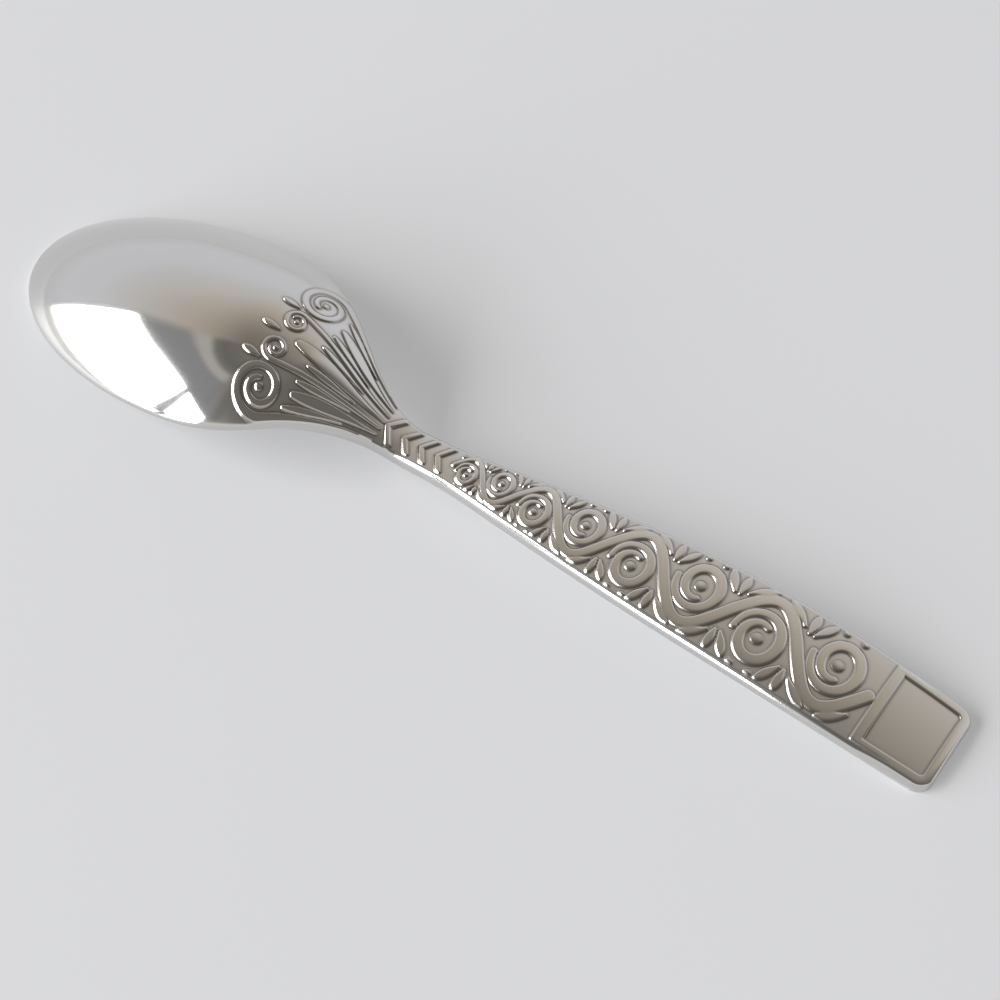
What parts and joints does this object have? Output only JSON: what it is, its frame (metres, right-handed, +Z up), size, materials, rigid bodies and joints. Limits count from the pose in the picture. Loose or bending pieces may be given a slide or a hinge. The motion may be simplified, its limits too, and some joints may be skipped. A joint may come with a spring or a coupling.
{
  "type": "demitasse spoon",
  "caption": "Polished steel demitasse spoon lying face down, with an egg-shaped bowl, a slim neck and a broad handle coined with a scrolling vine, a palmette and a bare framed end.",
  "frame": {"origin": "middle of the bounding box's bottom, on the plane of the table that the spoon lies on face down", "axes": "+X from the bowl's tip to the handle's end, +Y across the spoon, +Z up out of the spoon's back"},
  "size_m": [0.11, 0.0246, 0.0109],
  "materials": {
    "steel": "mirror polished"
  },
  "bodies": {
    "root": {"bowl": "steel", "neck": "steel", "handle": "steel", "palmette": "steel", "chevrons": "steel", "vine": "steel", "scrolls": "steel", "leaflets": "steel", "pearls": "steel", "end_frame": "steel"}
  },
  "joints": []
}
